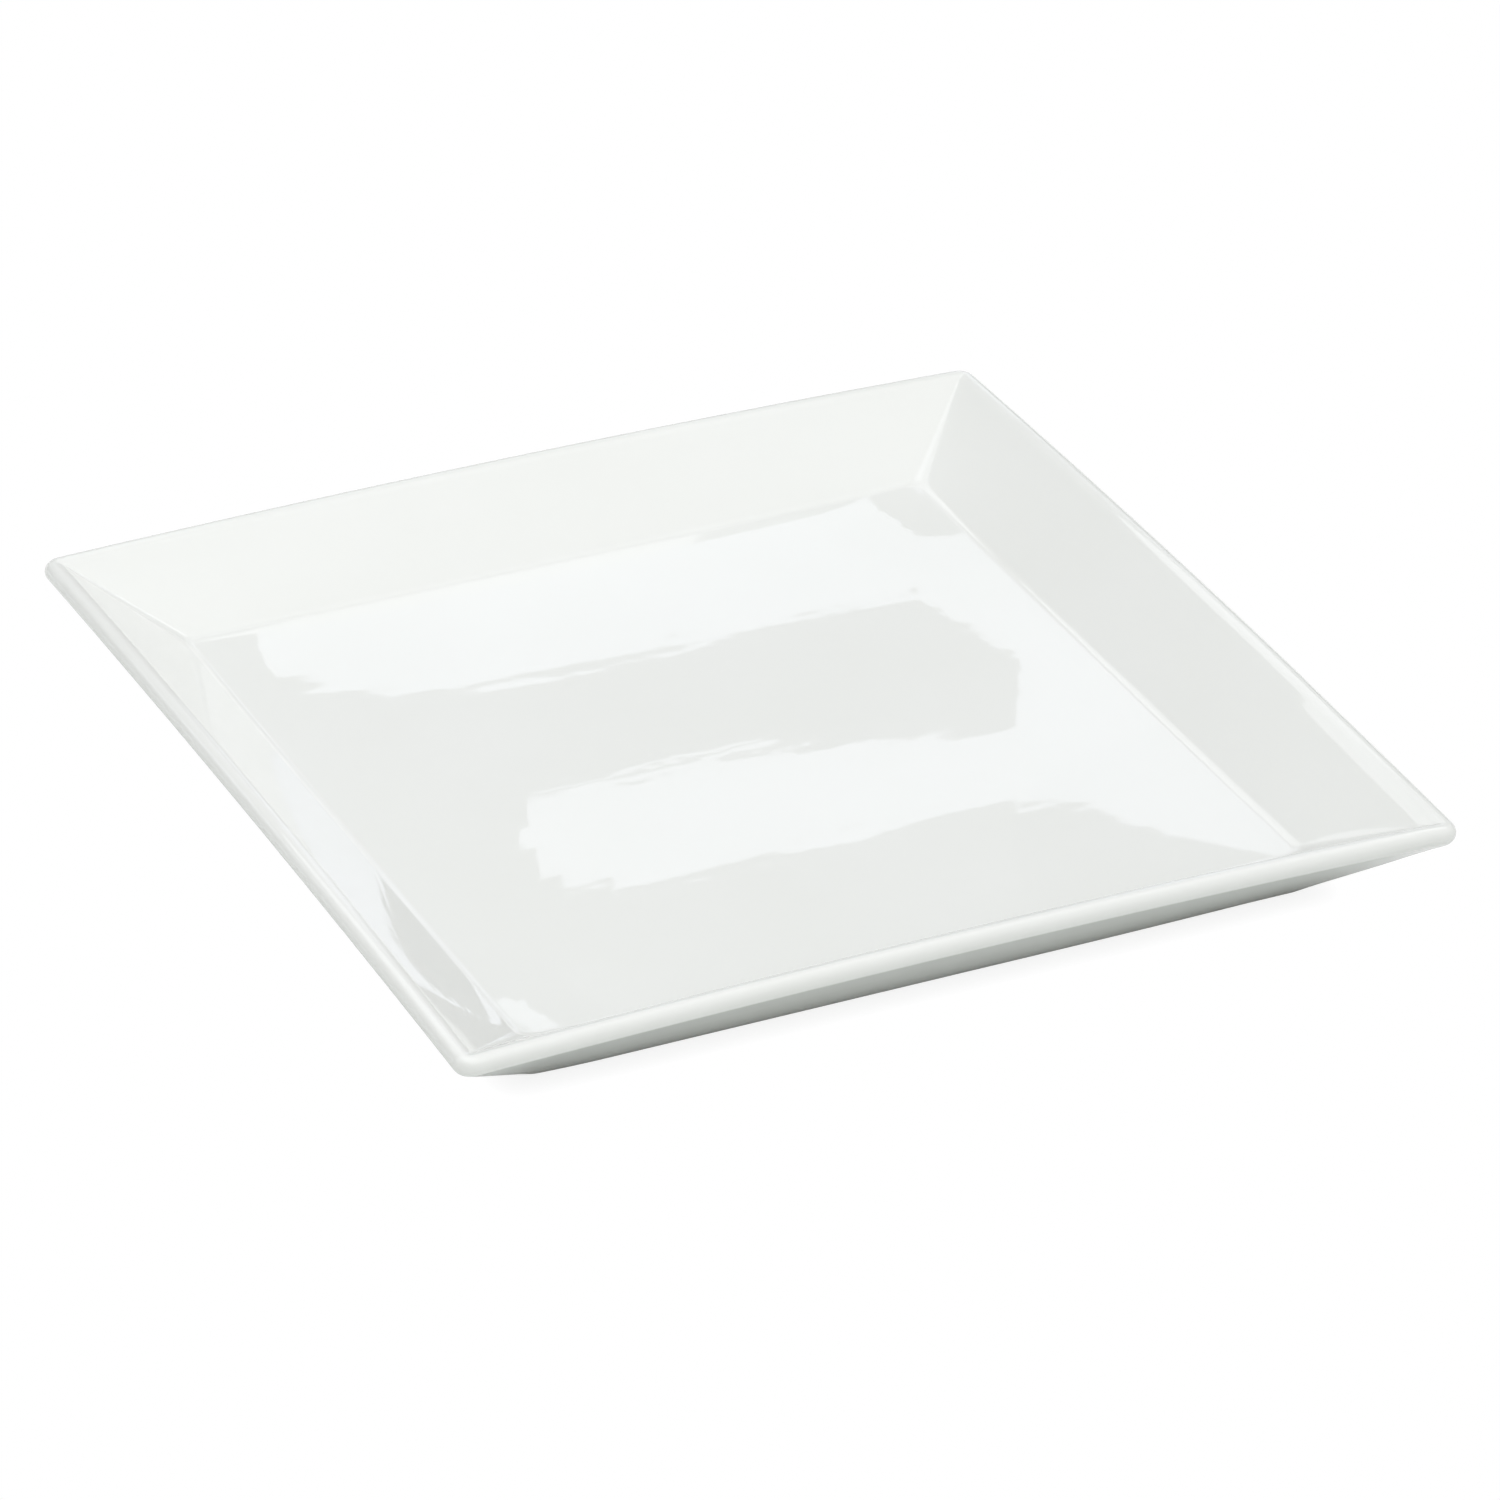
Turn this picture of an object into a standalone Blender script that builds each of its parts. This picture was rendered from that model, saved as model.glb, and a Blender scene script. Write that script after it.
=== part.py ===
"""Square serving platter: a fired porcelain body under two areas of gloss glaze.

The platter is one upright section carried round a rounded square. The section is a chain of stations
on the finished surface. Each station holds its distance from the middle of the platter, its height, the
side that faces the air, the centre of its plan corner and its share of the lip's bow. A coat or a body
under that surface is the same chain moved inwards, so every layer follows the same sizes.

Metres, +Z up. The origin is on the table, under the middle of the platter.
"""

import math
from collections import namedtuple

import bmesh
import bpy

# Plan sizes
SIDE = 0.3000  # across the lip, from side to side
RIM_WIDTH = 0.0318  # from the lip's outer edge to where the rim facet would meet the well floor
LIP_WIDTH = 0.0060  # thickness of the rolled lip, a round that facet and outer wall both touch
LIP_INNER_CORNER = 0.0006  # plan radius of the corners where the rim facet runs into the lip
WELL_CORNER = 0.0040  # plan radius of the well's corners
FOOT_OUTSET = 0.0018  # how far the foot's outer edge lies outside the well's edge
FOOT_CORNER = 0.0065  # plan radius of the foot's outer corners
FOOT_WIDTH = 0.0055  # width of the foot under its glaze
RECESS_CORNER = 0.0040  # plan radius of the corners inside the foot

# Heights
FOOT_HEIGHT = 0.0045  # depth of the recess inside the foot
BASE_THICKNESS = 0.0065  # floor of the well down to the recess
RIM_RISE = 0.0185  # lip above the well floor, at the corners
SIDE_BOW = 0.0022  # lip at the middle of a side above the lip at the corners
BARE_FOOT = 0.0006  # height of the foot that the glaze leaves bare

# Blends
WELL_FILLET = 0.0050  # well floor into rim facet
RECESS_FILLET = 0.0015  # foot into the underside of the base
FOOT_EDGE = 0.0005  # rounding of the foot's bare edges

# Layers
GLAZE_THICKNESS = 0.0004
GLAZE_CLEARANCE = 0.0003  # between the glaze and the body that carries it

# Surfaces: base colour and roughness
CLAY_COLOUR, CLAY_ROUGHNESS = (0.80, 0.78, 0.73), 0.60
FACE_COLOUR, FACE_ROUGHNESS = (0.85, 0.86, 0.85), 0.06
RECESS_COLOUR, RECESS_ROUGHNESS = (0.84, 0.85, 0.84), 0.10

# Smoothness of the solids: straight steps in each arc and along each side
CORNER_STEPS = 5
SIDE_STEPS = 6
FILLET_STEPS = 3
ROLL_STEPS = 4  # in each of the roll's inner, outer and lower parts
EDGE_STEPS = 2
SMOOTH_ANGLE = math.radians(40)

# Worked out from the sizes above
HALF = SIDE / 2
WELL_HALF = HALF - RIM_WIDTH
FOOT_HALF = WELL_HALF + FOOT_OUTSET
RECESS_HALF = FOOT_HALF - FOOT_WIDTH
FLOOR_Z = FOOT_HEIGHT + BASE_THICKNESS
LIP_Z = FLOOR_Z + RIM_RISE
ROLL = LIP_WIDTH / 2
ROLL_CENTRE = (HALF - ROLL, LIP_Z - ROLL)
ROLL_FROM_WELL = (ROLL_CENTRE[0] - WELL_HALF, ROLL_CENTRE[1] - FLOOR_Z)
ROLL_FROM_FOOT = (ROLL_CENTRE[0] - FOOT_HALF, ROLL_CENTRE[1])
FACET_SLOPE = math.atan2(*ROLL_FROM_WELL[::-1]) + math.asin(ROLL / math.hypot(*ROLL_FROM_WELL))
WALL_SLOPE = math.atan2(*ROLL_FROM_FOOT[::-1]) - math.asin(ROLL / math.hypot(*ROLL_FROM_FOOT))
FACET_END = ROLL_CENTRE[0] - ROLL * math.sin(FACET_SLOPE)  # where the rim facet touches the roll
LIP_PIVOT = FACET_END - LIP_INNER_CORNER  # centre of the lip's plan corners
WELL_PIVOT = WELL_HALF - WELL_CORNER
FOOT_PIVOT = FOOT_HALF - FOOT_CORNER
RECESS_PIVOT = RECESS_HALF - RECESS_CORNER
BODY_DEPTH = GLAZE_THICKNESS + GLAZE_CLEARANCE

# out, up: place on the section; air_out, air_up: unit normal; pivot: centre of the plan corner;
# bow: share of the lip's bow that the station takes
Station = namedtuple("Station", "out up air_out air_up pivot bow")


def clear_scene():
    for obj in list(bpy.data.objects):
        bpy.data.objects.remove(obj, do_unlink=True)


def arc(centre, radius, start, end, steps, hollow):
    """Points and air-side normals along an arc, its angles measured from +out towards +up."""
    sense = -1 if hollow else 1
    for i in range(steps + 1):
        angle = start + (end - start) * i / steps
        cosine, sine = math.cos(angle), math.sin(angle)
        yield centre[0] + radius * cosine, centre[1] + radius * sine, sense * cosine, sense * sine


def well_stations():
    """The fillet from the flat well floor into the rim facet."""
    centre = (WELL_HALF - WELL_FILLET * math.tan(FACET_SLOPE / 2), FLOOR_Z + WELL_FILLET)
    down = -math.pi / 2
    for out, up, air_out, air_up in arc(centre, WELL_FILLET, down, down + FACET_SLOPE, FILLET_STEPS, True):
        share = (out - WELL_HALF) / (FACET_END - WELL_HALF)
        pivot = WELL_PIVOT + share * (LIP_PIVOT - WELL_PIVOT)
        yield Station(out, up, air_out, air_up, pivot, max(0.0, share))


def lip_stations():
    """The roll, from where the rim facet touches it down to where the outer wall leaves it."""
    turns = (FACET_SLOPE + math.pi / 2, math.pi / 2, 0.0, WALL_SLOPE - math.pi / 2)
    angles = [turns[0]]
    for start, end in zip(turns, turns[1:]):
        angles += [start + (end - start) * i / ROLL_STEPS for i in range(1, ROLL_STEPS + 1)]
    for angle in angles:
        cosine, sine = math.cos(angle), math.sin(angle)
        out, up = ROLL_CENTRE[0] + ROLL * cosine, ROLL_CENTRE[1] + ROLL * sine
        yield Station(out, up, cosine, sine, LIP_PIVOT, 1.0)


def wall_end():
    """The foot of the outer wall, where its glaze stops."""
    share = BARE_FOOT / (ROLL_CENTRE[1] - ROLL * math.cos(WALL_SLOPE))
    out = FOOT_HALF + BARE_FOOT / math.tan(WALL_SLOPE)
    pivot = FOOT_PIVOT + share * (LIP_PIVOT - FOOT_PIVOT)
    return Station(out, BARE_FOOT, math.sin(WALL_SLOPE), -math.cos(WALL_SLOPE), pivot, share)


def recess_stations():
    """The glazed inside of the foot and the underside of the base."""
    centre = (RECESS_HALF - RECESS_FILLET, FOOT_HEIGHT - RECESS_FILLET)
    yield Station(RECESS_HALF, BARE_FOOT, -1.0, 0.0, RECESS_PIVOT, 0.0)
    for out, up, air_out, air_up in arc(centre, RECESS_FILLET, 0.0, math.pi / 2, FILLET_STEPS, True):
        yield Station(out, up, air_out, air_up, RECESS_PIVOT, 0.0)


def foot_stations():
    """The bare foot of the body: its outer edge, its resting face and its inner edge."""
    outer_half = FOOT_HALF - BODY_DEPTH / math.sin(WALL_SLOPE)
    inner_half = RECESS_HALF + BODY_DEPTH
    outer = (outer_half - FOOT_EDGE * math.tan(WALL_SLOPE / 2), FOOT_EDGE)
    inner = (inner_half + FOOT_EDGE, FOOT_EDGE)
    down = -math.pi / 2
    for out, up, air_out, air_up in arc(outer, FOOT_EDGE, WALL_SLOPE + down, down, EDGE_STEPS, False):
        yield Station(out, up, air_out, air_up, FOOT_PIVOT, 0.0)
    for out, up, air_out, air_up in arc(inner, FOOT_EDGE, down, 2 * down, EDGE_STEPS, False):
        yield Station(out, up, air_out, air_up, RECESS_PIVOT, 0.0)


def ring(station, depth):
    """The station carried round the rounded square, moved inwards from the finished surface by depth."""
    half = station.out - depth * station.air_out
    height = station.up - depth * station.air_up
    radius = half - station.pivot
    points = []
    for quarter in range(4):
        turn = quarter * math.pi / 2
        cosine, sine = math.cos(turn), math.sin(turn)
        plan = [(half, station.pivot * (2 * i / SIDE_STEPS - 1)) for i in range(SIDE_STEPS)]
        for i in range(CORNER_STEPS):
            angle = math.pi / 2 * i / CORNER_STEPS
            across, along = radius * math.cos(angle), radius * math.sin(angle)
            plan.append((station.pivot + across, station.pivot + along))
        for x, y in plan:
            from_middle = min(abs(x), abs(y)) / half
            lift = station.bow * SIDE_BOW * (1 - from_middle**2)
            points.append((x * cosine - y * sine, x * sine + y * cosine, height + lift))
    return points


def add_skin(bm, rings):
    """Quads between neighbouring rings; gives the first and last ring's vertices."""
    loops = [[bm.verts.new(point) for point in points] for points in rings]
    count = len(loops[0])
    for first, second in zip(loops, loops[1:]):
        for i in range(count):
            j = (i + 1) % count
            bm.faces.new((first[i], first[j], second[j], second[i]))
    return loops[0], loops[-1]


def add_cap(bm, loop):
    """Closes a level ring with a fan from the middle of the platter."""
    middle = bm.verts.new((0.0, 0.0, loop[0].co.z))
    for i, vert in enumerate(loop):
        bm.faces.new((vert, loop[(i + 1) % len(loop)], middle))


def join_ends(bm, first, second):
    count = len(first)
    for i in range(count):
        j = (i + 1) % count
        bm.faces.new((first[i], first[j], second[j], second[i]))


def ceramic_material(name, colour, roughness):
    material = bpy.data.materials.new(name)
    material.use_nodes = True
    shader = material.node_tree.nodes["Principled BSDF"]
    shader.inputs["Base Color"].default_value = (*colour, 1.0)
    shader.inputs["Roughness"].default_value = roughness
    shader.inputs["Metallic"].default_value = 0.0
    return material


def make_piece(name, bm, material):
    bmesh.ops.recalc_face_normals(bm, faces=bm.faces)
    mesh = bpy.data.meshes.new(name)
    bm.to_mesh(mesh)
    bm.free()
    mesh.shade_smooth()
    mesh.set_sharp_from_angle(angle=SMOOTH_ANGLE)
    mesh.materials.append(material)
    piece = bpy.data.objects.new(name, mesh)
    bpy.context.collection.objects.link(piece)
    return piece


def make_coat(name, stations, material):
    """A glaze skin: the finished surface, the surface under it and the edge where the glaze stops."""
    bm = bmesh.new()
    edges = []
    for depth in (0.0, GLAZE_THICKNESS):
        level, edge = add_skin(bm, [ring(station, depth) for station in stations])
        add_cap(bm, level)
        edges.append(edge)
    join_ends(bm, *edges)
    return make_piece(name, bm, material)


def make_body(name, face, recess, material):
    """The fired clay under both glazes, with the bare foot that it stands on."""
    rings = [ring(station, BODY_DEPTH) for station in face[:-1]]
    rings += [ring(station, 0.0) for station in foot_stations()]
    rings += [ring(station, BODY_DEPTH) for station in recess[-2::-1]]
    bm = bmesh.new()
    for level in add_skin(bm, rings):
        add_cap(bm, level)
    return make_piece(name, bm, material)


def main():
    clear_scene()
    face = [*well_stations(), *lip_stations(), wall_end()]
    recess = list(recess_stations())[::-1]
    make_body("porcelain_body", face, recess, ceramic_material("clay", CLAY_COLOUR, CLAY_ROUGHNESS))
    make_coat("face_glaze", face, ceramic_material("face", FACE_COLOUR, FACE_ROUGHNESS))
    make_coat("recess_glaze", recess, ceramic_material("recess", RECESS_COLOUR, RECESS_ROUGHNESS))


main()
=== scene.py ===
"""Square serving platter, dressed: fine glazed surfaces, a bare foot, soft studio light and a camera.

Every surface is one upright section carried round a rounded square, as in the solids, with finer steps
and with the slight unevenness that a fired glaze has. Metres, +Z up, origin on the table under the
middle of the platter.
"""

import math
from collections import namedtuple

import bmesh
import bpy
from mathutils import Matrix, Vector


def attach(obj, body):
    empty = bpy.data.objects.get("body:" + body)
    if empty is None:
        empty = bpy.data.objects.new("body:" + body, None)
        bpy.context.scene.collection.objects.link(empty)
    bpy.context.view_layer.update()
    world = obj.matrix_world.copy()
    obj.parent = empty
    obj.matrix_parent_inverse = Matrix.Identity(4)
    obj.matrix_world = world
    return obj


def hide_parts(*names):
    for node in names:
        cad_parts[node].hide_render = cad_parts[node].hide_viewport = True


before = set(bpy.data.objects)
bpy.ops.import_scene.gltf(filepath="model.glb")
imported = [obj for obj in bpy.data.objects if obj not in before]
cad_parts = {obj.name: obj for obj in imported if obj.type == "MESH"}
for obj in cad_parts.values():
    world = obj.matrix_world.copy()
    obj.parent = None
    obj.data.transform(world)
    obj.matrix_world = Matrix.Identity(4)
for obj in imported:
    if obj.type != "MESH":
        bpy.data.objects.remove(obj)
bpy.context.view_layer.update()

# Sizes of the platter, as in the solids
SIDE = 0.3000
RIM_WIDTH = 0.0318
LIP_WIDTH = 0.0060
LIP_INNER_CORNER = 0.0006
WELL_CORNER = 0.0040
FOOT_OUTSET = 0.0018
FOOT_CORNER = 0.0065
FOOT_WIDTH = 0.0055
RECESS_CORNER = 0.0040
FOOT_HEIGHT = 0.0045
BASE_THICKNESS = 0.0065
RIM_RISE = 0.0185
SIDE_BOW = 0.0022
BARE_FOOT = 0.0006
WELL_FILLET = 0.0050
RECESS_FILLET = 0.0015
FOOT_EDGE = 0.0005
GLAZE_THICKNESS = 0.0004
GLAZE_CLEARANCE = 0.0003

# The lip's inner side, where the glaze has drawn a softer shoulder: its radius, and its tilt where
# the roll begins
SHOULDER = 0.0060
SHOULDER_TILT = math.radians(10)

# Fineness of the meshes
CORNER_STEPS = 10
SIDE_STEPS = 64
FLOOR_STEPS = 48
FACET_STEPS = 12
FILLET_STEPS = 12
ROLL_STEPS = 10
WALL_STEPS = 10
EDGE_STEPS = 4
SHARP_ANGLE = math.radians(50)

HALF = SIDE / 2
WELL_HALF = HALF - RIM_WIDTH
FOOT_HALF = WELL_HALF + FOOT_OUTSET
RECESS_HALF = FOOT_HALF - FOOT_WIDTH
FLOOR_Z = FOOT_HEIGHT + BASE_THICKNESS
LIP_Z = FLOOR_Z + RIM_RISE
ROLL = LIP_WIDTH / 2
ROLL_CENTRE = (HALF - ROLL, LIP_Z - ROLL)
ROLL_FROM_WELL = (ROLL_CENTRE[0] - WELL_HALF, ROLL_CENTRE[1] - FLOOR_Z)
ROLL_FROM_FOOT = (ROLL_CENTRE[0] - FOOT_HALF, ROLL_CENTRE[1])
ROLL_TILT = math.atan2(*ROLL_FROM_WELL[::-1]) + math.asin(ROLL / math.hypot(*ROLL_FROM_WELL))
LIP_PIVOT = ROLL_CENTRE[0] - ROLL * math.sin(ROLL_TILT) - LIP_INNER_CORNER
WALL_SLOPE = math.atan2(*ROLL_FROM_FOOT[::-1]) - math.asin(ROLL / math.hypot(*ROLL_FROM_FOOT))
SHOULDER_OFFSET = SHOULDER - ROLL
SHOULDER_CENTRE = (
    ROLL_CENTRE[0] + SHOULDER_OFFSET * math.sin(SHOULDER_TILT),
    ROLL_CENTRE[1] - SHOULDER_OFFSET * math.cos(SHOULDER_TILT),
)
SHOULDER_FROM_WELL = (SHOULDER_CENTRE[0] - WELL_HALF, SHOULDER_CENTRE[1] - FLOOR_Z)
SHOULDER_REACH = math.hypot(*SHOULDER_FROM_WELL)
FACET_SLOPE = math.atan2(*SHOULDER_FROM_WELL[::-1]) + math.asin(SHOULDER / SHOULDER_REACH)
FACET_END = SHOULDER_CENTRE[0] - SHOULDER * math.sin(FACET_SLOPE)
SHOULDER_PIVOT = FACET_END - LIP_INNER_CORNER
WELL_PIVOT = WELL_HALF - WELL_CORNER
FOOT_PIVOT = FOOT_HALF - FOOT_CORNER
RECESS_PIVOT = RECESS_HALF - RECESS_CORNER
BODY_DEPTH = GLAZE_THICKNESS + GLAZE_CLEARANCE

# Unevenness of the fired face. A dish: the floor rises towards a corner over a reach, rounds off within
# a tip, which is a share of that reach, and fades out up the rim
Dish = namedtuple("Dish", "side end rise reach")
DISHES = (
    Dish(-1, 1, 0.0008, 0.085),
    Dish(1, -1, 0.0008, 0.085),
)
DISH_TIP = 0.22
DISH_FADE = 0.025

# A corner: the foot of one facet rises towards the end of a side
Corner = namedtuple("Corner", "side end rise across along")
CORNERS = (
    Corner(-1, -1, 0.0007, 0.025, 0.050),
    Corner(1, 1, 0.0009, 0.040, 0.055),
)

# A sag: the lip and a strip below it have dropped near one end of a side, in full over a held share
Sag = namedtuple("Sag", "side end drop across along held")
LIP_SAG = Sag(1, -1, 0.00029, 0.0026, 0.105, 0.65)
SAG_SUPPORT = 0.0003

# Materials: colours from low to high, roughness, scales of the patterns and heights of the bump
GLAZE_LOW = (0.844, 0.857, 0.822)
GLAZE_HIGH = (0.858, 0.870, 0.840)
GLAZE_ROUGHNESS = 0.016
UNDER_LOW = (0.77, 0.78, 0.765)
UNDER_HIGH = (0.80, 0.805, 0.79)
UNDER_ROUGHNESS = 0.10
GLAZE_IOR = 1.5
DRIFT_SCALE = 14.0
DRIFT_DETAIL = 3.0
DRIFT_SPAN = (0.3, 0.7)
GLOSS_SPAN = (0.8, 1.2)
STREAK_SCALE = (22.0, 95.0, 95.0)
PEEL_SCALE = 120.0
STREAK_RISE = 0.000017
PEEL_RISE = 0.000006
CLAY_LOW = (0.70, 0.67, 0.61)
CLAY_HIGH = (0.82, 0.80, 0.75)
CLAY_ROUGHNESS = 0.65
GRAIN_SCALE = 900.0
GRAIN_DETAIL = 6.0
GRAIN_SPAN = (0.25, 0.7)
GRAIN_STRENGTH = 0.4
GRAIN_RISE = 0.0002

# Camera: focal length in pixels of a 1500 pixel frame, then where it stands
FRAME_PIXELS = 1500
FOCAL_PIXELS = 8163.7
SENSOR_MM = 36.0
CAMERA_AZIMUTH = math.radians(-26.156)
CAMERA_ELEVATION = math.radians(30.029)
CAMERA_ROLL = math.radians(1.108)
CAMERA_DISTANCE = 2.2627
CAMERA_TARGET = Vector((-0.01053, -0.03300, LIP_Z))

# Table: a gap below the foot, so that their faces don't lie in one plane, and the painted shadow in its
# white glow: how far the platter darkens the white seen directly (contact) and in mirror images (under
# the rim)
FOOT_GAP = 0.0001
TABLE_REACH = 8.0
TABLE_COLOUR = (0.77, 0.79, 0.775, 1.0)
TABLE_ROUGHNESS = 0.9
CONTACT_SHADOW_REACH = 0.006
CONTACT_SHADOW_LEVEL = 0.85
UNDER_RIM_SHADOW_REACH = 0.05
UNDER_RIM_SHADOW_BLACK = 0.2

# Light: a pale room with a dim far end, and the soft boxes that add to it, as radiance
ROOM_LEVEL = 0.57
ROOM_COLOUR = (1.0, 0.995, 0.985, 1.0)
FAR_END_LEVEL = 0.10
FAR_END = Vector((0.0, 1.0, 0.0))
FAR_END_SPREAD = (0.25, 0.60)
CARD_LEVEL = 1.17
CARD_COLOUR = (0.86, 0.89, 1.0)
FILL_LEVEL = 0.34
FILL_CENTRE = Vector((0.8, -2.4, 1.1))
FILL_SIZE = (2.0, 1.4)
LAMP_COLOUR = (0.955, 0.965, 1.0)
OVERHEAD_HEIGHT = 1.5
CARD_PLANE = 1.4

# Soft boxes that lie askew: one behind the platter near the table, and one over its far left
TABLE_CARD = Vector((0.9115, CARD_PLANE, 0.2958))
TABLE_CARD_SIZE = (0.337, 0.11)
TABLE_CARD_TURN = math.radians(34.3)
TABLE_CARD_LEVEL = 1.36
CORNER_BOX = Vector((-0.855, 1.607, OVERHEAD_HEIGHT))
CORNER_BOX_SIZE = (0.30, 0.36)
CORNER_BOX_TURN = math.radians(20.5)
CORNER_BOX_LEVEL = 1.5

# Soft boxes over the platter: left, right, near and far edge, then radiance
OVERHEADS = (
    (-0.80, 0.25, -0.70, 0.75, 1.82),
    (-0.80, 0.45, 0.75, 1.42, 1.0),
    (0.25, 1.00, -0.60, 0.30, 0.65),
    (0.45, 1.00, -0.60, 0.75, 0.5),
    (1.02, 1.35, 0.25, 1.15, 2.1),
    (-0.56, 0.96, 1.42, 1.87, 1.40),
    (-1.90, -0.95, -0.60, 1.30, 0.55),
    (-0.80, 0.45, -1.90, -0.75, 1.38),
)

# Soft boxes that stand behind the platter and are mirrored in its well: left, right, low and high edge
CARDS = (
    (0.450, 0.785, 0.700, 0.846),
    (0.572, 0.700, 0.909, 0.913),
    (0.571, 0.700, 0.917, 0.930),
    (0.566, 0.700, 0.930, 0.944),
    (0.577, 0.845, 0.944, 0.960),
    (0.590, 0.845, 0.960, 0.972),
    (0.618, 0.845, 0.972, 0.981),
    (0.845, 0.880, 0.800, 0.985),
    (0.985, 1.075, 0.800, 1.060),
    (0.790, 0.866, 0.200, 0.262),
    (0.800, 0.980, 0.400, 0.660),
    (-0.950, -0.650, 0.680, 0.950),
)

# Soft boxes with a slanting edge, made of narrow upright strips: low and high edge at either end
Slant = namedtuple("Slant", "left right left_low right_low left_high right_high strips")
SLANTS = (
    Slant(0.785, 0.845, 0.700, 0.700, 0.848, 0.898, 20),
    Slant(0.880, 0.985, 0.800, 0.800, 0.984, 1.060, 28),
    Slant(0.700, 0.845, 0.916, 0.941, 0.944, 0.944, 16),
)

Station = namedtuple("Station", "out up air_out air_up pivot bow")


def arc(centre, radius, start, end, steps, hollow):
    sense = -1 if hollow else 1
    for i in range(steps + 1):
        angle = start + (end - start) * i / steps
        cosine, sine = math.cos(angle), math.sin(angle)
        yield centre[0] + radius * cosine, centre[1] + radius * sine, sense * cosine, sense * sine


def between(first, second, steps):
    """Stations on the straight stretch between two stations, closer together towards its ends."""
    for i in range(1, steps):
        share = (1 - math.cos(math.pi * i / steps)) / 2
        yield Station(*(a + (b - a) * share for a, b in zip(first, second)))


def well_stations():
    """The fillet from the flat well floor into the rim facet."""
    centre = (WELL_HALF - WELL_FILLET * math.tan(FACET_SLOPE / 2), FLOOR_Z + WELL_FILLET)
    down = -math.pi / 2
    fillet = arc(centre, WELL_FILLET, down, down + FACET_SLOPE, FILLET_STEPS, True)
    for out, up, air_out, air_up in fillet:
        share = (out - WELL_HALF) / (FACET_END - WELL_HALF)
        pivot = WELL_PIVOT + share * (SHOULDER_PIVOT - WELL_PIVOT)
        yield Station(out, up, air_out, air_up, pivot, max(0.0, share))


def lip_stations():
    """The shoulder at the end of the rim facet, then the roll down to the start of the outer wall."""
    for i in range(ROLL_STEPS + 1):
        share = i / ROLL_STEPS
        tilt = FACET_SLOPE + (SHOULDER_TILT - FACET_SLOPE) * share
        cosine, sine = math.cos(tilt), math.sin(tilt)
        out, up = SHOULDER_CENTRE[0] - SHOULDER * sine, SHOULDER_CENTRE[1] + SHOULDER * cosine
        pivot = SHOULDER_PIVOT + share * (LIP_PIVOT - SHOULDER_PIVOT)
        yield Station(out, up, -sine, cosine, pivot, 1.0)
    turns = (SHOULDER_TILT + math.pi / 2, math.pi / 2, 0.0, WALL_SLOPE - math.pi / 2)
    angles = []
    for start, end in zip(turns, turns[1:]):
        angles += [start + (end - start) * i / ROLL_STEPS for i in range(1, ROLL_STEPS + 1)]
    for angle in angles:
        cosine, sine = math.cos(angle), math.sin(angle)
        out, up = ROLL_CENTRE[0] + ROLL * cosine, ROLL_CENTRE[1] + ROLL * sine
        yield Station(out, up, cosine, sine, LIP_PIVOT, 1.0)


def wall_end():
    """The foot of the outer wall, where its glaze stops."""
    share = BARE_FOOT / (ROLL_CENTRE[1] - ROLL * math.cos(WALL_SLOPE))
    out = FOOT_HALF + BARE_FOOT / math.tan(WALL_SLOPE)
    pivot = FOOT_PIVOT + share * (LIP_PIVOT - FOOT_PIVOT)
    return Station(out, BARE_FOOT, math.sin(WALL_SLOPE), -math.cos(WALL_SLOPE), pivot, share)


def recess_stations():
    centre = (RECESS_HALF - RECESS_FILLET, FOOT_HEIGHT - RECESS_FILLET)
    yield Station(RECESS_HALF, BARE_FOOT, -1.0, 0.0, RECESS_PIVOT, 0.0)
    for out, up, air_out, air_up in arc(centre, RECESS_FILLET, 0.0, math.pi / 2, FILLET_STEPS, True):
        yield Station(out, up, air_out, air_up, RECESS_PIVOT, 0.0)


def foot_stations():
    """The bare foot of the body: its outer edge, its resting face and its inner edge."""
    outer_half = FOOT_HALF - BODY_DEPTH / math.sin(WALL_SLOPE)
    inner_half = RECESS_HALF + BODY_DEPTH
    outer = (outer_half - FOOT_EDGE * math.tan(WALL_SLOPE / 2), FOOT_EDGE)
    inner = (inner_half + FOOT_EDGE, FOOT_EDGE)
    down = -math.pi / 2
    for out, up, air_out, air_up in arc(outer, FOOT_EDGE, WALL_SLOPE + down, down, EDGE_STEPS, False):
        yield Station(out, up, air_out, air_up, FOOT_PIVOT, 0.0)
    for out, up, air_out, air_up in arc(inner, FOOT_EDGE, down, 2 * down, EDGE_STEPS, False):
        yield Station(out, up, air_out, air_up, RECESS_PIVOT, 0.0)


def face_stations():
    """The finished face from the edge of the flat floor over the lip and down to the foot."""
    well, lip, end = list(well_stations()), list(lip_stations()), wall_end()
    facet = list(between(well[-1], lip[0], FACET_STEPS))
    for below in (LIP_SAG.across, LIP_SAG.across + SAG_SUPPORT):
        share = 1 - below / (lip[0].out - well[-1].out)
        facet.append(Station(*(a + (b - a) * share for a, b in zip(well[-1], lip[0]))))
    facet.sort(key=lambda station: station.out)
    wall = between(lip[-1], end, WALL_STEPS)
    return [*well, *facet, *lip, *wall, end]


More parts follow.
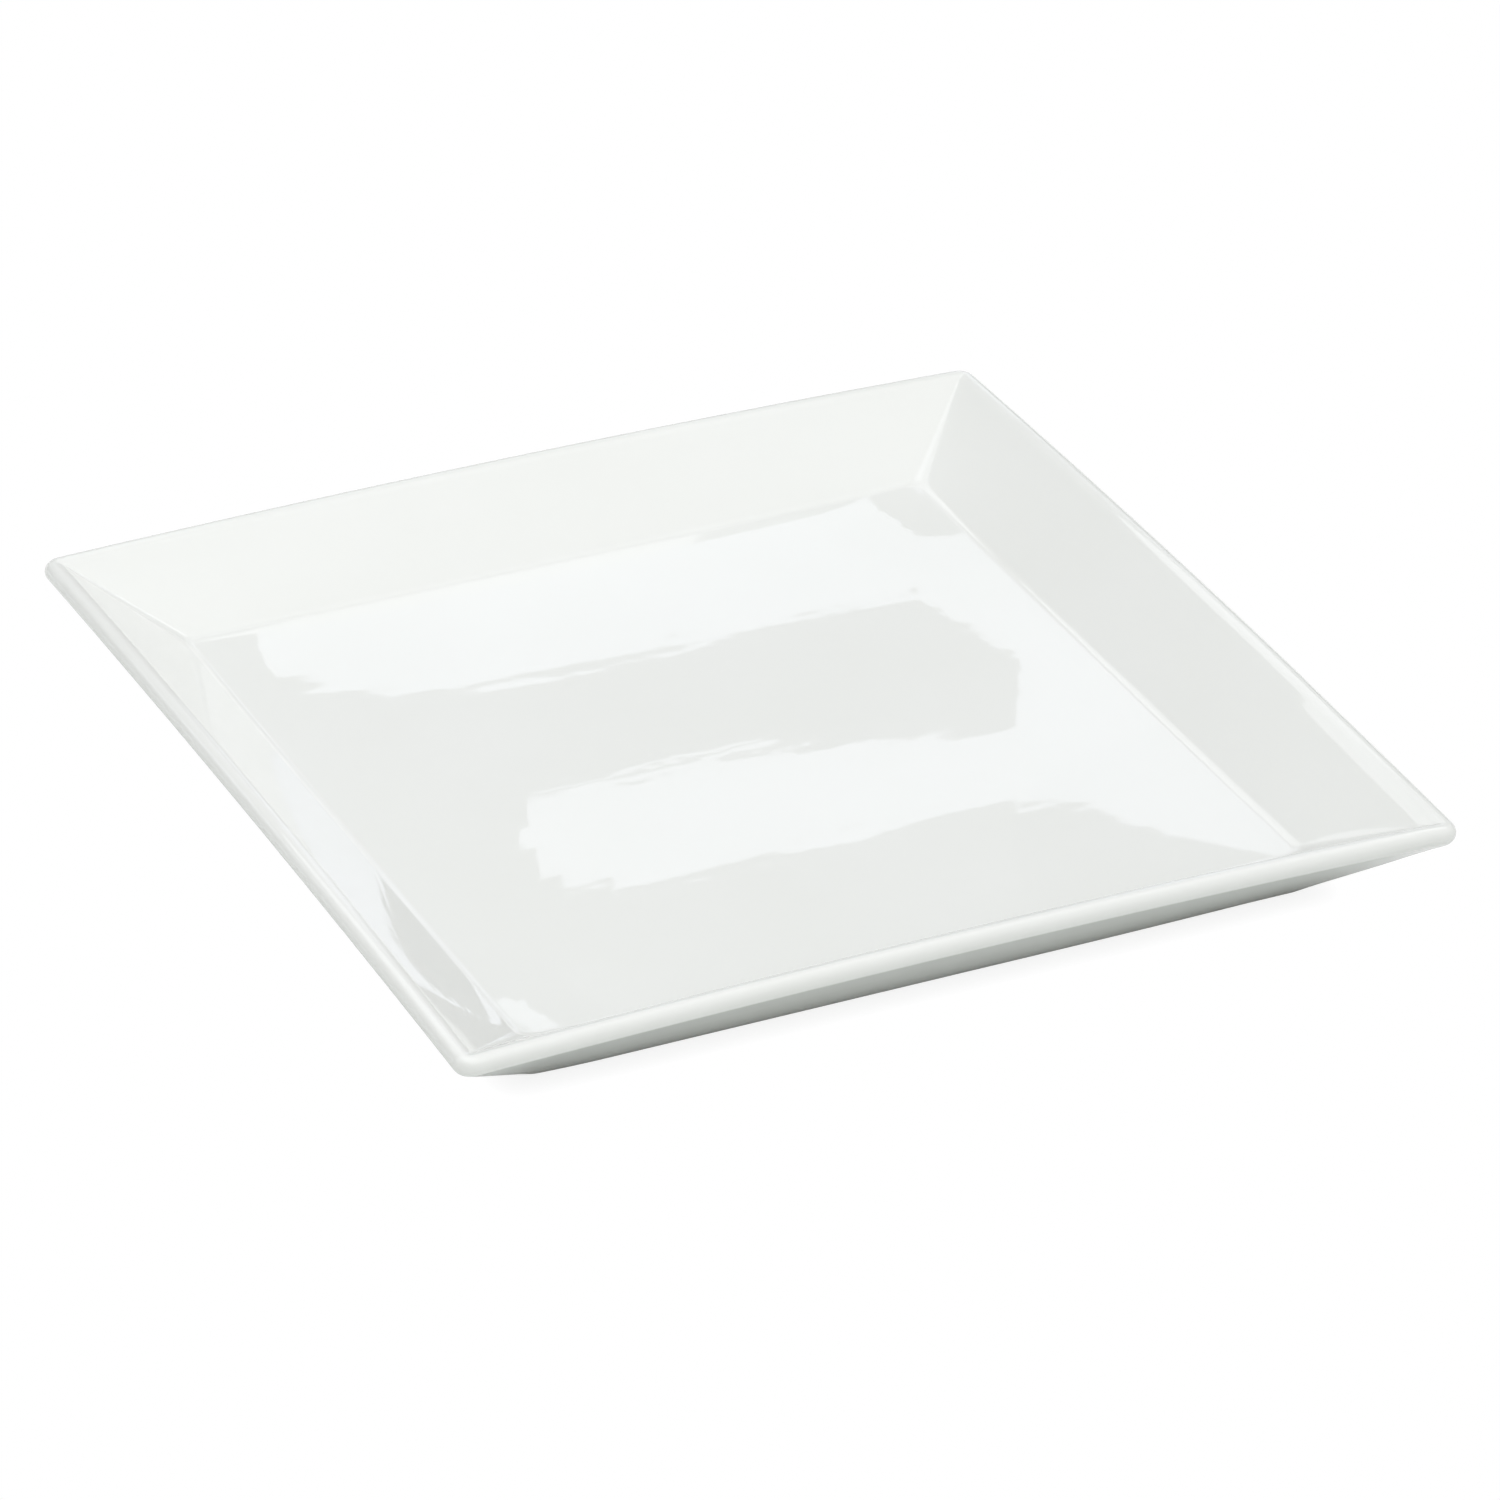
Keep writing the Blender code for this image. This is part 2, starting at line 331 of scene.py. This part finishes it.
def ring(station, depth=0.0, scale=1.0):
    """The station carried round the rounded square, moved inwards by depth and drawn in by scale."""
    half = station.out - depth * station.air_out
    height = station.up - depth * station.air_up
    radius = half - station.pivot
    points = []
    for quarter in range(4):
        turn = quarter * math.pi / 2
        cosine, sine = math.cos(turn), math.sin(turn)
        plan = [(half, station.pivot * (2 * i / SIDE_STEPS - 1)) for i in range(SIDE_STEPS)]
        for i in range(CORNER_STEPS):
            angle = math.pi / 2 * i / CORNER_STEPS
            across, along = radius * math.cos(angle), radius * math.sin(angle)
            plan.append((station.pivot + across, station.pivot + along))
        for x, y in plan:
            from_middle = min(abs(x), abs(y)) / half
            lift = station.bow * SIDE_BOW * (1 - from_middle**2)
            points.append(Vector((x * cosine - y * sine, x * sine + y * cosine, height + lift)))
    return [Vector((p.x * scale, p.y * scale, p.z)) for p in points]


def join_loops(bm, first, second):
    count = len(first)
    for i in range(count):
        j = (i + 1) % count
        bm.faces.new((first[i], first[j], second[j], second[i]))


def add_skin(bm, rings):
    loops = [[bm.verts.new(point) for point in points] for points in rings]
    for first, second in zip(loops, loops[1:]):
        join_loops(bm, first, second)
    return loops[0], loops[-1]


def add_cap(bm, loop):
    middle = bm.verts.new((0.0, 0.0, sum(v.co.z for v in loop) / len(loop)))
    for i, vert in enumerate(loop):
        bm.faces.new((vert, loop[(i + 1) % len(loop)], middle))


def floor_warp(point):
    """Height of the fired face over an even one, from its dishes, corners and sagged lip."""
    beyond = max(abs(point.x), abs(point.y)) - WELL_HALF
    fade = max(0.0, min(1.0, 1 - beyond / DISH_FADE))
    soft_fade = fade * fade * (3 - 2 * fade)
    even_fade = max(0.0, min(1.0, 1 - beyond / (FACET_END - WELL_HALF)))
    height = 0.0
    for dish in DISHES:
        away = math.hypot(WELL_HALF - dish.side * point.x, WELL_HALF - dish.end * point.y) / dish.reach
        height += dish.rise * max(0.0, 1 - max(away, DISH_TIP)) ** 2 * soft_fade
        if away < DISH_TIP:
            height += dish.rise * (1 - DISH_TIP) * (DISH_TIP**2 - away**2) / DISH_TIP * soft_fade
    for corner in CORNERS:
        across = 1 - max(0.0, WELL_HALF - corner.side * point.x) / corner.across
        along = 1 - max(0.0, WELL_HALF - corner.end * point.y) / corner.along
        height += corner.rise * (max(0.0, across) * max(0.0, along)) ** 2 * even_fade
    across = 1 - max(0.0, FACET_END - LIP_SAG.side * point.x) / LIP_SAG.across
    along = (1 - (HALF - LIP_SAG.end * point.y) / LIP_SAG.along) / (1 - LIP_SAG.held)
    return height - LIP_SAG.drop * max(0.0, across) * max(0.0, min(1.0, along))


def floor_rings(station):
    """Rings from near the middle of a flat floor out to its edge, the last one close to that edge."""
    scales = [i / FLOOR_STEPS for i in range(1, FLOOR_STEPS)] + [1 - 1 / FLOOR_STEPS**2]
    return [ring(station, scale=scale) for scale in scales]


def warped(rings):
    return [[point + Vector((0.0, 0.0, floor_warp(point))) for point in points] for points in rings]


def make_piece(name, bm, material, node):
    bmesh.ops.recalc_face_normals(bm, faces=bm.faces)
    mesh = bpy.data.meshes.new(name)
    bm.to_mesh(mesh)
    bm.free()
    mesh.shade_smooth()
    mesh.set_sharp_from_angle(angle=SHARP_ANGLE)
    mesh.materials.append(material)
    piece = bpy.data.objects.new(name, mesh)
    bpy.context.scene.collection.objects.link(piece)
    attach(piece, "root")
    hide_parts(node)
    return piece


def make_coat(name, outer, stations, material, node):
    """A glaze skin: the finished surface, the surface under it and the edge where the glaze stops."""
    bm = bmesh.new()
    inner = [ring(station, GLAZE_THICKNESS) for station in stations]
    edges = []
    for rings in (outer, inner):
        level, edge = add_skin(bm, rings)
        add_cap(bm, level)
        edges.append(edge)
    join_loops(bm, *edges)
    return make_piece(name, bm, material, node)


def make_body(name, face, recess, material, node):
    rings = [ring(station, BODY_DEPTH) for station in face[:-1]]
    rings += [ring(station) for station in foot_stations()]
    rings += [ring(station, BODY_DEPTH) for station in recess[-2::-1]]
    bm = bmesh.new()
    for level in add_skin(bm, rings):
        add_cap(bm, level)
    return make_piece(name, bm, material, node)


def new_material(name):
    material = bpy.data.materials.new(name)
    material.use_nodes = True
    tree = material.node_tree
    return material, tree, tree.nodes["Principled BSDF"]


def tint_between(tree, shader, pattern, colours, span):
    """Colours the shader by a pattern, from one colour to the other over a span of its values."""
    tint = tree.nodes.new("ShaderNodeValToRGB")
    for stop, colour, position in zip(tint.color_ramp.elements, colours, span):
        stop.color = (*colour, 1.0)
        stop.position = position
    tree.links.new(pattern.outputs["Fac"], tint.inputs["Fac"])
    tree.links.new(tint.outputs["Color"], shader.inputs["Base Color"])


def glaze_material(name, low, high, roughness):
    """Gloss white glaze with a faint drift of colour and gloss."""
    material, tree, shader = new_material(name)
    nodes, links = tree.nodes, tree.links
    place = nodes.new("ShaderNodeTexCoord")
    drift = nodes.new("ShaderNodeTexNoise")
    drift.inputs["Scale"].default_value = DRIFT_SCALE
    drift.inputs["Detail"].default_value = DRIFT_DETAIL
    links.new(place.outputs["Object"], drift.inputs["Vector"])
    tint_between(tree, shader, drift, (low, high), DRIFT_SPAN)
    gloss = nodes.new("ShaderNodeMapRange")
    gloss.inputs["To Min"].default_value = roughness * GLOSS_SPAN[0]
    gloss.inputs["To Max"].default_value = roughness * GLOSS_SPAN[1]
    links.new(drift.outputs["Fac"], gloss.inputs["Value"])
    links.new(gloss.outputs["Result"], shader.inputs["Roughness"])
    shader.inputs["IOR"].default_value = GLAZE_IOR
    stretch = nodes.new("ShaderNodeMapping")
    stretch.inputs["Scale"].default_value = STREAK_SCALE
    links.new(place.outputs["Object"], stretch.inputs["Vector"])
    streaks = nodes.new("ShaderNodeTexNoise")
    streaks.inputs["Scale"].default_value = 1.0
    streaks.inputs["Detail"].default_value = 1.0
    links.new(stretch.outputs["Vector"], streaks.inputs["Vector"])
    peel = nodes.new("ShaderNodeTexNoise")
    peel.inputs["Scale"].default_value = PEEL_SCALE
    peel.inputs["Detail"].default_value = 1.0
    links.new(place.outputs["Object"], peel.inputs["Vector"])
    below = None
    for relief, rise in ((streaks, STREAK_RISE), (peel, PEEL_RISE)):
        bump = nodes.new("ShaderNodeBump")
        bump.inputs["Distance"].default_value = rise
        links.new(relief.outputs["Fac"], bump.inputs["Height"])
        if below:
            links.new(below.outputs["Normal"], bump.inputs["Normal"])
        below = bump
    links.new(below.outputs["Normal"], shader.inputs["Normal"])
    return material


def clay_material(name):
    material, tree, shader = new_material(name)
    nodes, links = tree.nodes, tree.links
    place = nodes.new("ShaderNodeTexCoord")
    grain = nodes.new("ShaderNodeTexNoise")
    grain.inputs["Scale"].default_value = GRAIN_SCALE
    grain.inputs["Detail"].default_value = GRAIN_DETAIL
    links.new(place.outputs["Object"], grain.inputs["Vector"])
    tint_between(tree, shader, grain, (CLAY_LOW, CLAY_HIGH), GRAIN_SPAN)
    bump = nodes.new("ShaderNodeBump")
    bump.inputs["Strength"].default_value = GRAIN_STRENGTH
    bump.inputs["Distance"].default_value = GRAIN_RISE
    links.new(grain.outputs["Fac"], bump.inputs["Height"])
    links.new(bump.outputs["Normal"], shader.inputs["Normal"])
    shader.inputs["Roughness"].default_value = CLAY_ROUGHNESS
    return material


def build_platter():
    face = face_stations()
    recess = list(recess_stations())[::-1]
    clay = clay_material("bare_porcelain")
    glaze = glaze_material("gloss_glaze", GLAZE_LOW, GLAZE_HIGH, GLAZE_ROUGHNESS)
    under = glaze_material("recess_glaze", UNDER_LOW, UNDER_HIGH, UNDER_ROUGHNESS)
    make_body("body", face, recess, clay, "porcelain_body")
    face_rings = warped(floor_rings(face[0]) + [ring(station) for station in face])
    recess_rings = floor_rings(recess[0]) + [ring(station) for station in recess]
    make_coat("face", face_rings, face, glaze, "face_glaze")
    make_coat("underside", recess_rings, recess, under, "recess_glaze")


def make_floor():
    """A pale table top. Seen directly or mirrored it glows white, with a painted shadow near the
    platter.
    """
    mesh = bpy.data.meshes.new("floor")
    plan = ((-1, -1), (1, -1), (1, 1), (-1, 1))
    corners = [(x * TABLE_REACH, y * TABLE_REACH, -FOOT_GAP) for x, y in plan]
    mesh.from_pydata(corners, [], [(0, 1, 2, 3)])
    material, tree, shader = new_material("floor")
    nodes, links = tree.nodes, tree.links
    shader.inputs["Base Color"].default_value = TABLE_COLOUR
    shader.inputs["Roughness"].default_value = TABLE_ROUGHNESS
    shader.inputs["Specular IOR Level"].default_value = 0.0
    white = nodes.new("ShaderNodeEmission")
    white.inputs["Strength"].default_value = 1.0
    paths = nodes.new("ShaderNodeLightPath")
    # Painted shadow: ambient occlusion near the foot darkens the white glow that the camera sees
    contact_shadow = nodes.new("ShaderNodeAmbientOcclusion")
    contact_shadow.inputs["Distance"].default_value = CONTACT_SHADOW_REACH
    seen = nodes.new("ShaderNodeMapRange")
    seen.inputs["To Min"].default_value = CONTACT_SHADOW_LEVEL
    links.new(contact_shadow.outputs["AO"], seen.inputs["Value"])
    # Painted shadow: ambient occlusion under the rim darkens the white glow seen in mirror images
    under_rim_shadow = nodes.new("ShaderNodeAmbientOcclusion")
    under_rim_shadow.inputs["Distance"].default_value = UNDER_RIM_SHADOW_REACH
    mirrored = nodes.new("ShaderNodeMapRange")
    mirrored.inputs["From Min"].default_value = UNDER_RIM_SHADOW_BLACK
    links.new(under_rim_shadow.outputs["AO"], mirrored.inputs["Value"])
    share = None
    for ray, level in (
        ("Is Camera Ray", seen.outputs["Result"]),
        ("Is Glossy Ray", mirrored.outputs["Result"]),
        ("Is Transmission Ray", mirrored.outputs["Result"]),
    ):
        part = nodes.new("ShaderNodeMath")
        part.operation = "MULTIPLY_ADD"
        links.new(paths.outputs[ray], part.inputs[0])
        links.new(level, part.inputs[1])
        part.inputs[2].default_value = 0.0
        if share:
            links.new(share, part.inputs[2])
        share = part.outputs["Value"]
    mix = nodes.new("ShaderNodeMixShader")
    links.new(share, mix.inputs["Fac"])
    links.new(shader.outputs["BSDF"], mix.inputs[1])
    links.new(white.outputs["Emission"], mix.inputs[2])
    links.new(mix.outputs["Shader"], nodes["Material Output"].inputs["Surface"])
    mesh.materials.append(material)
    floor = bpy.data.objects.new("floor", mesh)
    bpy.context.scene.collection.objects.link(floor)


def softbox(name, centre, tilt, width, height, radiance, turn=0.0, colour=LAMP_COLOUR):
    """A rectangular soft light of even brightness, facing down at no tilt and -Y at a right angle."""
    lamp = bpy.data.lights.new(name, "AREA")
    lamp.shape = "RECTANGLE"
    lamp.color = colour
    lamp.size = width
    lamp.size_y = height
    lamp.energy = radiance * math.pi * width * height
    box = bpy.data.objects.new(name, lamp)
    box.location = centre
    box.rotation_euler = (Matrix.Rotation(-tilt, 3, "X") @ Matrix.Rotation(turn, 3, "Z")).to_euler()
    box.visible_camera = False
    bpy.context.scene.collection.objects.link(box)


def overhead(name, left, right, near, far, radiance):
    """A level soft box over the platter."""
    centre = ((left + right) / 2, (near + far) / 2, OVERHEAD_HEIGHT)
    softbox(name, centre, 0.0, right - left, far - near, radiance)


def card(name, left, right, low, high):
    """An upright soft box behind the platter, mirrored in its well."""
    centre = ((left + right) / 2, CARD_PLANE, (low + high) / 2)
    softbox(name, centre, math.pi / 2, right - left, high - low, CARD_LEVEL, colour=CARD_COLOUR)


def make_light():
    world = bpy.data.worlds.new("studio")
    world.use_nodes = True
    nodes, links = world.node_tree.nodes, world.node_tree.links
    background = nodes["Background"]
    background.inputs["Color"].default_value = ROOM_COLOUR
    direction = nodes.new("ShaderNodeTexCoord")
    towards = nodes.new("ShaderNodeVectorMath")
    towards.operation = "DOT_PRODUCT"
    towards.inputs[1].default_value = FAR_END
    links.new(direction.outputs["Generated"], towards.inputs[0])
    fade = nodes.new("ShaderNodeMapRange")
    fade.interpolation_type = "SMOOTHSTEP"
    fade.inputs["From Min"].default_value = FAR_END_SPREAD[0]
    fade.inputs["From Max"].default_value = FAR_END_SPREAD[1]
    fade.inputs["To Min"].default_value = ROOM_LEVEL
    fade.inputs["To Max"].default_value = FAR_END_LEVEL
    links.new(towards.outputs["Value"], fade.inputs["Value"])
    links.new(fade.outputs["Result"], background.inputs["Strength"])
    bpy.context.scene.world = world
    for number, edges in enumerate(OVERHEADS):
        overhead(f"overhead_{number}", *edges)
    for number, edges in enumerate(CARDS):
        card(f"card_{number}", *edges)
    softbox("fill", FILL_CENTRE, -math.pi / 2, *FILL_SIZE, FILL_LEVEL)
    level, turn = TABLE_CARD_LEVEL, TABLE_CARD_TURN
    softbox("card_table", TABLE_CARD, math.pi / 2, *TABLE_CARD_SIZE, level, turn, CARD_COLOUR)
    softbox("corner", CORNER_BOX, 0.0, *CORNER_BOX_SIZE, CORNER_BOX_LEVEL, CORNER_BOX_TURN)
    for group, slant in enumerate(SLANTS):
        width = (slant.right - slant.left) / slant.strips
        for number in range(slant.strips):
            share = (number + 0.5) / slant.strips
            left = slant.left + width * number
            low = slant.left_low + (slant.right_low - slant.left_low) * share
            high = slant.left_high + (slant.right_high - slant.left_high) * share
            card(f"slant_{group}_{number}", left, left + width, low, high)


def make_camera():
    data = bpy.data.cameras.new("camera")
    data.sensor_width = SENSOR_MM
    data.lens = FOCAL_PIXELS / FRAME_PIXELS * SENSOR_MM
    azimuth, elevation = CAMERA_AZIMUTH, CAMERA_ELEVATION
    back = Vector((
        math.sin(azimuth) * math.cos(elevation),
        -math.cos(azimuth) * math.cos(elevation),
        math.sin(elevation),
    ))
    right = Vector((math.cos(azimuth), math.sin(azimuth), 0.0))
    up = back.cross(right)
    cosine, sine = math.cos(CAMERA_ROLL), math.sin(CAMERA_ROLL)
    right, up = cosine * right + sine * up, cosine * up - sine * right
    eye = CAMERA_TARGET + CAMERA_DISTANCE * back
    camera = bpy.data.objects.new("camera", data)
    camera.matrix_world = Matrix((
        (right.x, up.x, back.x, eye.x),
        (right.y, up.y, back.y, eye.y),
        (right.z, up.z, back.z, eye.z),
        (0.0, 0.0, 0.0, 1.0),
    ))
    bpy.context.scene.collection.objects.link(camera)
    bpy.context.scene.camera = camera


build_platter()
make_floor()
make_light()
make_camera()
bpy.context.scene.view_settings.view_transform = "Standard"
